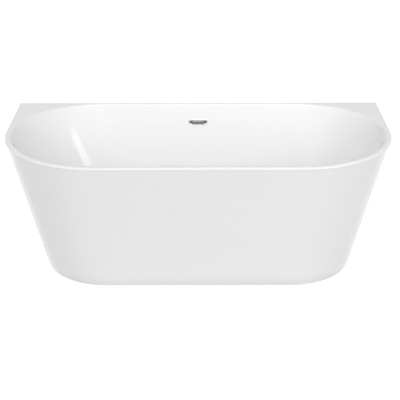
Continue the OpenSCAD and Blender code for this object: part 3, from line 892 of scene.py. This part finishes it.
for i, (x, y) in enumerate(FEET, 1):
    here = at(x, y)
    piece(f"pad_{i}", moved(foot_pad, here), "black_plastic", [f"foot_pad_{i}"], f"foot_{i}")
    piece(f"sole_{i}", moved(foot_sole, here), "rubber", [f"foot_sole_{i}"], f"foot_{i}")
    piece(f"spindle_{i}", moved(foot_spindle, here), "plated_steel", [f"foot_spindle_{i}"],
          f"spindle_{i}", smooth=40)


# Waste -----------------------------------------------------------------------
flange = lathe([(THROAT_R, 136), (TAIL_R, 136), (TAIL_R, 171.5), (FLANGE_R, 171.5),
                (FLANGE_R, 172.5), (34, 174), (27, 174), (21, 172), (THROAT_R, 168.5)], 0.8, 96)
piece("drain_flange", flange, "chrome", ["waste_flange"])

dome = [(33 * math.sin(a), 174.6 + 4.4 * math.cos(a) ** 0.8) for a in np.linspace(0, 1.5, 14)]
cap = [(0, 174.2), (32, 174.2), (33, 174.8), *dome[::-1]]
piece("plug_dome", lathe(cap, 0.15, 96, 2), "chrome", ["plug_cap"], "plug")
seal = [(14, 167), (18.9, 167), (18.9, 170), (14, 170)]
piece("plug_ring", lathe(seal, 1.2), "rubber", ["plug_seal"], "plug")
stem = [(0, 116), (4, 116), (4, 166), (16, 166), (16, 167), (14, 167), (14, 170),
        (16, 170), (16, 174.2), (0, 174.2)]
piece("plug_carrier", lathe(stem, 0.5), "plated_steel", ["plug_stem"], "plug")
cartridge = [(4.1, 122), (8, 122), (8, BRIDGE_Z[1]), (9.5, BRIDGE_Z[1]), (9.5, 156), (8, 158),
             (4.1, 158)]
piece("click_unit", lathe(cartridge, 0.5), "black_plastic", ["click_cartridge"])

turns = 4
helix = [(6.2 * math.cos(a), 6.2 * math.sin(a), 158.8 + 6.4 * a / (2 * math.pi * turns))
         for a in np.linspace(0, 2 * math.pi * turns, 36 * turns)]
spring = piece("coil_spring", tube_along(helix, [0.6] * len(helix), 10), "plated_steel",
               ["plug_spring"], body=None)
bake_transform(spring)

waste = [(THROAT_R, 72), (24, 72), (24, 112), (27, 118), (27, 150), (42, 151), (42, 156),
         (TAIL_R + 0.05, 156), (TAIL_R + 0.05, 132), (THROAT_R, 132)]
inlet = moved(lathe([(11, 18), (15, 18), (15, 62), (11, 62)], 0.5),
              at(0, 0, HOSE_INLET_Z) @ turned(-90, "X"))
low, high = BRIDGE_Z
bridge = [lathe([(8, low), (11, low), (11, high), (8, high)], 0.5)]
arm = box_part((9.5, -2, low), (THROAT_R + 1, 2, high), 0.5)
bridge += [moved(arm, turned(90 * k, "Z")) for k in range(4)]
piece("waste_housing", joined([lathe(waste, 1.2, 80), inlet, *bridge]), "white_plastic", ["waste_body"])


# Trap and outlet -------------------------------------------------------------
def union_nut(bore, r, height, count=24):
    """A ribbed hand nut with a plain collar, standing on z = 0."""
    outline = [(bore, 0), (r - 2, 0), (r - 1.6, 2), (r - 1.6, height - 3), (r - 3, height),
               (bore, height)]
    return lathe(outline, 0.7, count * 8, 3, Ribs(count, 1.5, r - 2.2))


piece("trap_union", moved(union_nut(24.1, 33, 15), at(0, 0, 62)), "white_plastic", ["trap_nut"])
cup = lathe([(35, 16), (38, 16), (38, 56), (34, 60), (24, 60), (24, 71.9), (20.1, 71.9),
             (20.1, 56), (35, 56)], 1.5, 80)
spout = moved(lathe([(PIPE_BORE, 32), (PIPE_R, 32), (PIPE_R, 63), (PIPE_BORE, 63)], 0.5),
              at(0, 0, OUTLET_Z) @ turned(-90, "Y"))
piece("trap_cup", joined([cup, spout]), "white_plastic", ["trap_body"])
base_cap = lathe([(0, 10), (38, 10), (40, 12), (40, 20), (39, 22), (38.1, 22), (38.1, 15.95),
                  (35, 15.95), (35, 14), (0, 14)], 0.8, 240, 3, Ribs(30, 1.6, 39.2))
piece("trap_base", base_cap, "white_plastic", ["trap_cap"])
piece("outlet_union", moved(union_nut(20.1, 28, 23), at(-51, 0, OUTLET_Z) @ turned(-90, "Y")),
      "white_plastic", ["outlet_nut"])

elbow = [(x, 0, OUTLET_Z) for x in (-63.1, -67, -71)]
elbow += [(BEND_X - PIPE_BEND * math.sin(a), PIPE_BEND - PIPE_BEND * math.cos(a), OUTLET_Z)
          for a in np.linspace(0, math.pi / 2, 20)]
piece("outlet_bend", tube_along(elbow, [PIPE_R] * len(elbow), 48, PIPE_BORE),
      "white_plastic", ["outlet_elbow"])
tail = lathe([(PIPE_BORE, 0), (PIPE_R, 0), (PIPE_R, 255), (24, 256), (24, 284), (PIPE_R, 285),
              (PIPE_R, 345), (PIPE_BORE, 345)], 1.0, 64)
tail_start = at(BEND_X - PIPE_BEND, PIPE_BEND, OUTLET_Z)
piece("outlet_tail", moved(tail, tail_start @ turned(-90, "X")), "white_plastic", ["outlet_pipe"])


# Overflow --------------------------------------------------------------------
HOSE_Y = OVERFLOW_Y + 18.6
SLOT = (80, 11)
TAB = (62, 19, 3.6)


def face_plate():
    """Trim plate with a bevelled rim, its slot and the sleeve behind it."""
    w, h = TRIM
    rings = [rounded_ring(w, h, 5, 0.1)]
    for k in range(6):
        a = math.pi / 2 * k / 5
        rings.append(rounded_ring(w - 2.4 * (1 - math.cos(a)), h - 2.4 * (1 - math.cos(a)), 5,
                                  1.8 + 1.2 * math.sin(a)))
    for inset, z in ((-1.2, 3.0), (-0.35, 2.65), (0, 1.8), (0, -16)):
        hole = rounded_ring(SLOT[0] - 2 * inset, SLOT[1] - 2 * inset, 2.5, z)
        hole[:, 1] -= 3
        rings.append(hole)
    rings += [rounded_ring(83, 19, 3.5, -16), rounded_ring(83, 19, 3.5, 0.1)]
    return into_wall(closed_skin(rings))


def tab():
    """The raised middle that hides the screws, softly crowned."""
    w, h, deep = TAB
    rings = [np.zeros((RING_POINTS, 3)), rounded_ring(w, h, 3, 0)]
    for k in range(7):
        a = math.pi / 2 * k / 6
        rings.append(rounded_ring(w - 3.2 * (1 - math.cos(a)), h - 3.2 * (1 - math.cos(a)), 3,
                                  deep - 2.2 + 1.6 * math.sin(a)))
    rings.append(rounded_ring(w - 24, h - 10, 3, deep - 0.15))
    rings.append(np.tile((0, 0, deep), (RING_POINTS, 1)))
    return into_wall(moved(open_skin(rings), at(0, -1, 3)))


piece("overflow_plate", face_plate(), "chrome", ["overflow_trim"])
piece("overflow_tab", tab(), "dark_chrome", ["overflow_cover"])


def hose():
    """Corrugated hose with plain cuffs, held at both ends."""
    bend, low = 112, HOSE_INLET_Z
    path = [(0, HOSE_Y, z) for z in np.linspace(467, low + bend, 330)]
    path += [(0, HOSE_Y - bend + bend * math.cos(a), low + bend - bend * math.sin(a))
             for a in np.linspace(0, math.pi / 2, 222)[1:]]
    path += [(0, y, low) for y in np.linspace(HOSE_Y - bend, 62.1, 258)[1:]]
    steps = np.linalg.norm(np.diff(path, axis=0), axis=1)
    run = np.concatenate([[0], np.cumsum(steps)])
    ends = np.minimum(run, run[-1] - run)
    ripple = np.clip((ends - 24) / 6, 0, 1) * (0.5 - 0.5 * np.cos(2 * math.pi * run / 5.2)) ** 0.7
    radii = 14 - 2.3 * ripple
    return tube_along(path, radii, 32, 11.1)


piece("hose", hose(), "hose_plastic", ["overflow_hose"], smooth=60)
collar = lathe([(14.1, 0), (15.9, 0), (16.5, 1), (16.5, 13), (15.9, 16), (14.1, 16)], 0.5, 96)
piece("hose_collar", moved(collar, at(0, HOSE_Y, 449)), "white_plastic", ["hose_nut_top"])
piece("hose_union", moved(union_nut(15.1, 21, 26, 18), at(0, 76, HOSE_INLET_Z) @ turned(90, "X")),
      "white_plastic", ["hose_nut_bottom"])


# Studio ----------------------------------------------------------------------
# Soft patches of light round the tub: azimuth from the front (+ to the right),
# height above the horizon, tightness and strength
PATCHES = [
    (0, 35, 20, 3.1), (38, 35, 20, 1.3), (-38, 35, 20, 1.8), (180, 20, 8, 0.28), (0, 8, 12, 0.3),
]
AMBIENT = 0.5
# The softbox that shows as a streak in the gloss: azimuth, height above the horizon,
# width and height in metres, and power
SOFTBOX = (50, 12, 0.9, 1.5, 12)
BOX_AWAY = 4.0
AIM_HEIGHT = 0.45
FLOOR_REACH = 30000
FLOOR_TONE = 0.4
FLOOR_GLOW = 1.0
# The camera at the photo's viewing angle, in millimetres of lens, metres and radians
LENS = 88.02
SENSOR = 36
EYE = (0.0015, -4.0238, 2.1538)
PAN, TILT, ROLL = -0.0015, -0.4376, -0.0017


def floor():
    """A pale floor that looks white, straight on or mirrored, and lights the tub only a little."""
    signs = ((-1, -1), (1, -1), (1, 1), (-1, 1))
    corners = [(x * FLOOR_REACH, y * FLOOR_REACH, -0.5) for x, y in signs]
    mesh = bpy.data.meshes.new("floor")
    mesh.from_pydata((np.array(corners) * MM).tolist(), [], [(0, 1, 2, 3)])
    made = bpy.data.objects.new("floor", mesh)
    bpy.context.scene.collection.objects.link(made)
    f = Finish("floor")
    greys = (0.3, (FLOOR_TONE,) * 3), (0.7, (FLOOR_TONE + 0.02,) * 3)
    f.set("Base Color", f.colours(f.noise(3, 3), *greys))
    f.set("Roughness", f.stretch(f.noise(20, 3), 0.3, 0.7, 0.7, 0.8))
    rays = f.node("LightPath").outputs
    seen = f.math("MAXIMUM", rays["Is Camera Ray"], rays["Is Glossy Ray"])
    f.set("Emission Strength", f.math("MULTIPLY", seen, FLOOR_GLOW))
    mesh.materials.append(f.material)
    made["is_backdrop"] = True


def studio():
    """An evenly lit room with the soft patches added."""
    world = bpy.data.worlds.new("studio")
    bpy.context.scene.world = world
    world.use_nodes = True
    tree = world.node_tree
    toward = add_node(tree, "TexCoord").outputs["Generated"]
    total = AMBIENT
    for azimuth, height, tight, strength in PATCHES:
        side, up = math.radians(azimuth), math.radians(height)
        middle = (math.sin(side) * math.cos(up), -math.cos(side) * math.cos(up), math.sin(up))
        dot = add_node(tree, "VectorMath", {0: toward, 1: middle}, operation="DOT_PRODUCT")
        near = add_node(tree, "Math", {0: dot.outputs["Value"], 1: 0.0}, operation="MAXIMUM")
        near = add_node(tree, "Math", {0: near.outputs[0], 1: tight}, operation="POWER")
        links = {0: near.outputs[0], 1: strength, 2: total}
        total = add_node(tree, "Math", links, operation="MULTIPLY_ADD").outputs[0]
    tree.links.new(total, tree.nodes["Background"].inputs["Strength"])
    tree.nodes["Background"].inputs["Color"].default_value = (1, 1, 1, 1)


def softbox(azimuth, height, wide, tall, power):
    """A rectangular light that faces the tub from a set distance."""
    side = math.radians(azimuth)
    middle = Vector((0, 0, AIM_HEIGHT))
    rise = BOX_AWAY * math.tan(math.radians(height))
    place = middle + Vector((BOX_AWAY * math.sin(side), -BOX_AWAY * math.cos(side), rise))
    data = bpy.data.lights.new("softbox", "AREA")
    data.shape = "RECTANGLE"
    data.size, data.size_y = wide, tall
    data.energy = power
    lamp = bpy.data.objects.new("softbox", data)
    bpy.context.scene.collection.objects.link(lamp)
    turn = (middle - place).to_track_quat("-Z", "Y")
    lamp.matrix_world = Matrix.Translation(place) @ turn.to_matrix().to_4x4()


floor()
studio()
softbox(*SOFTBOX)

camera = bpy.data.cameras.new("camera")
eye = bpy.data.objects.new("camera", camera)
bpy.context.scene.collection.objects.link(eye)
bpy.context.scene.camera = eye
camera.lens = LENS
camera.sensor_width = SENSOR
camera.clip_start, camera.clip_end = 0.05, 200
eye.matrix_world = (Matrix.Translation(EYE) @ Matrix.Rotation(PAN, 4, "Z")
                    @ Matrix.Rotation(math.pi / 2 + TILT, 4, "X") @ Matrix.Rotation(ROLL, 4, "Z"))
bpy.context.scene.view_settings.view_transform = "Standard"

bpy.context.view_layer.update()
low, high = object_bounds()
